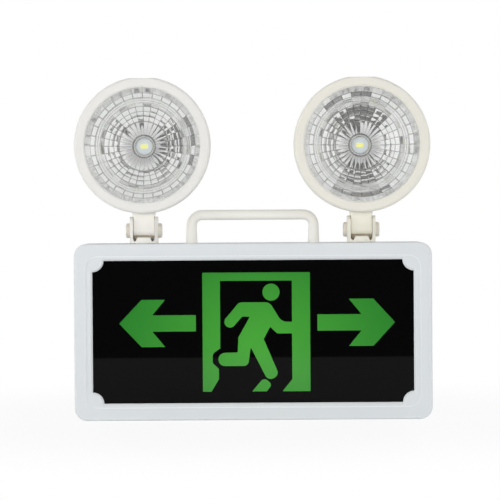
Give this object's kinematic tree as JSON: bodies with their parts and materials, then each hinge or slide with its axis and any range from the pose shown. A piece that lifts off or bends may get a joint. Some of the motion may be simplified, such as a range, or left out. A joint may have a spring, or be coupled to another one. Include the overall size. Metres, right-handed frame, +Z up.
{
  "type": "emergency exit light",
  "caption": "Wall-mounted emergency exit light: a box with an illuminated exit sign, a carrying handle and round lamp heads on swivel joints above it.",
  "frame": {"origin": "middle of the box's underside, halfway through its depth", "axes": "+X to the right along the box, +Y towards the wall behind it, +Z up; the sign faces -Y"},
  "size_m": [0.28, 0.05, 0.2683],
  "materials": {
    "casing_white": "semi-gloss white moulded plastic, slightly cool",
    "casing_cream": "semi-gloss warm white moulded plastic",
    "sign_black": "black printed acrylic, smooth front",
    "sign_green": "printed film behind the clear parts of the sign",
    "guide_clear": "clear acrylic with fine etched dots",
    "backing_white": "white reflecting sheet",
    "board_green": "glass-fibre board with green solder mask",
    "strip_white": "white solder mask",
    "chip_yellow": "phosphor-filled lamp package",
    "core_steel": "varnished laminations",
    "capacitor_black": "shrink sleeve",
    "socket_white": "nylon",
    "screw_steel": "zinc plated",
    "wrap_yellow": "heat-shrunk sleeve",
    "strap_steel": "zinc plated sheet",
    "terminal_white": "polyamide",
    "terminal_brass": "plain",
    "rubber_black": "moulded rubber",
    "lamp_green": "diffusing lamp body",
    "lamp_red": "diffusing lamp body",
    "lamp_yellow": "diffusing lamp body",
    "switch_black": "moulded switch body",
    "button_red": "semi-gloss red moulded plastic",
    "washer_nylon": "natural nylon",
    "clip_steel": "spring steel",
    "lens_clear": "clear moulded cover",
    "reflector_mirror": "vacuum-metallised plastic",
    "led_board_white": "white solder mask on a metal core"
  },
  "bodies": {
    "box": {"front_frame": "casing_white", "rear_housing": "casing_white", "frame_screws": "screw_steel", "sign_panel": "sign_black", "light_guide": "guide_clear", "backing_plate": "backing_white", "backlight_strip_top": "strip_white", "backlight_strip_bottom": "strip_white", "backlight_leds": "chip_yellow", "main_board": "board_green", "transformer": "core_steel", "capacitors": "capacitor_black", "wire_sockets": "socket_white", "board_screws": "screw_steel", "battery_pack": "wrap_yellow", "battery_strap": "strap_steel", "strap_screws": "screw_steel", "terminal_block": "terminal_white", "terminal_screws": "terminal_brass", "cable_grommet": "rubber_black", "indicator_board": "board_green", "lamp_green": "lamp_green", "lamp_red": "lamp_red", "lamp_yellow": "lamp_yellow", "test_switch": "switch_black", "handle": "casing_cream", "handle_screws": "screw_steel", "left_turret_washer": "washer_nylon", "right_turret_washer": "washer_nylon"},
    "button": {"test_button": "button_red", "switch_plunger": "switch_black"},
    "left_swivel": {"left_turret": "casing_cream", "left_turret_clip": "clip_steel", "left_pivot_bolt": "casing_cream", "left_pivot_nut": "casing_cream"},
    "left_head": {"left_head_shell": "casing_cream", "left_head_rim": "casing_cream", "left_head_lens": "lens_clear", "left_reflector": "reflector_mirror", "left_led_board": "led_board_white", "left_led_emitter": "chip_yellow", "left_led_board_screws": "screw_steel"},
    "right_swivel": {"right_turret": "casing_cream", "right_turret_clip": "clip_steel", "right_pivot_bolt": "casing_cream", "right_pivot_nut": "casing_cream"},
    "right_head": {"right_head_shell": "casing_cream", "right_head_rim": "casing_cream", "right_head_lens": "lens_clear", "right_reflector": "reflector_mirror", "right_led_board": "led_board_white", "right_led_emitter": "chip_yellow", "right_led_board_screws": "screw_steel"}
  },
  "joints": [
    {"name": "left_pan", "type": "hinge", "parent": "box", "child": "left_swivel", "pos_m": [-0.0858, 0, 0.1384], "axis": [0, 0, -1], "range_deg": [-90, 90]},
    {"name": "left_tilt", "type": "hinge", "parent": "left_swivel", "child": "left_head", "pos_m": [-0.0858, 0, 0.1485], "axis": [1, 0, 0], "range_deg": [-40, 45]},
    {"name": "right_pan", "type": "hinge", "parent": "box", "child": "right_swivel", "pos_m": [0.0858, 0, 0.1384], "axis": [0, 0, 1], "range_deg": [-90, 90]},
    {"name": "right_tilt", "type": "hinge", "parent": "right_swivel", "child": "right_head", "pos_m": [0.0858, 0, 0.1485], "axis": [1, 0, 0], "range_deg": [-40, 45]},
    {"name": "test_press", "type": "slide", "parent": "box", "child": "button", "axis": [-1, 0, 0], "range_m": [0, 0.001], "stiffness_N_per_m": 600, "springref_m": -0.0005}
  ]
}
